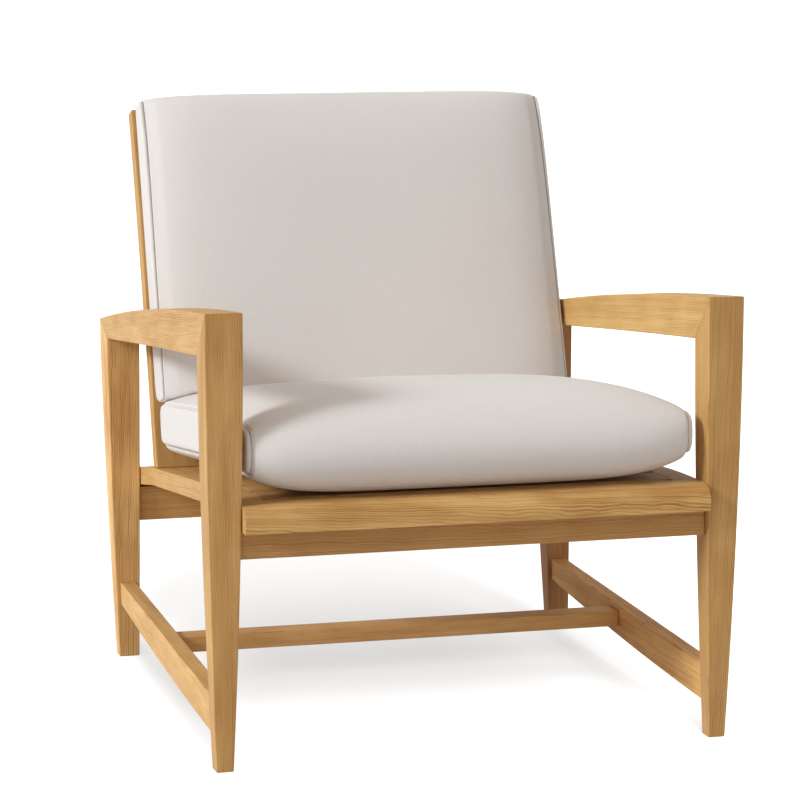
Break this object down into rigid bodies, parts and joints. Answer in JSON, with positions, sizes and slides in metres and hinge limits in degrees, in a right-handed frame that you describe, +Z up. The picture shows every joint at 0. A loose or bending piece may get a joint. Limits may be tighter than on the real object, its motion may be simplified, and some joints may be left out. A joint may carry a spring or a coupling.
{
  "type": "teak lounge armchair",
  "caption": "Low teak lounge armchair with mitred arms on tapered legs, H-shaped stretchers, a reclined back and loose seat and back cushions, for sitting outdoors.",
  "frame": {"origin": "on the floor, under the middle of the chair's overall width and depth", "axes": "+Z up, the chair faces -Y, +X to the right of someone who faces its front"},
  "size_m": [0.74, 0.8214, 0.8535],
  "materials": {
    "teak": "satin oiled, fine straight grain",
    "canvas": "matt tight plain weave"
  },
  "bodies": {
    "chair_frame": {"back_bottom_rail": "teak", "back_slat_1": "teak", "back_slat_2": "teak", "back_slat_3": "teak", "back_slat_4": "teak", "back_slat_5": "teak", "back_top_rail": "teak", "cross_stretcher": "teak", "front_apron": "teak", "left_arm": "teak", "left_back_stile": "teak", "left_front_leg": "teak", "left_front_mitre_tongue": "teak", "left_rear_leg": "teak", "left_rear_mitre_tongue": "teak", "left_seat_side_rail": "teak", "left_side_stretcher": "teak", "rear_apron": "teak", "right_arm": "teak", "right_back_stile": "teak", "right_front_leg": "teak", "right_front_mitre_tongue": "teak", "right_rear_leg": "teak", "right_rear_mitre_tongue": "teak", "right_seat_side_rail": "teak", "right_side_stretcher": "teak", "seat_front_rail": "teak", "seat_rear_board": "teak", "seat_slat_1": "teak", "seat_slat_2": "teak", "seat_slat_3": "teak", "seat_slat_4": "teak", "seat_slat_5": "teak", "seat_slat_6": "teak"},
    "seat_cushion": {"seat_cushion": "canvas"},
    "back_cushion": {"back_cushion": "canvas"}
  },
  "joints": [
    {"name": "seat_cushion_pull", "type": "slide", "parent": "chair_frame", "child": "seat_cushion", "axis": [0, -0.9943, 0.1064], "range_m": [0, 0.65]},
    {"name": "back_cushion_lift", "type": "slide", "parent": "chair_frame", "child": "back_cushion", "axis": [0, 0.319, 0.9478], "range_m": [0, 0.5]}
  ]
}
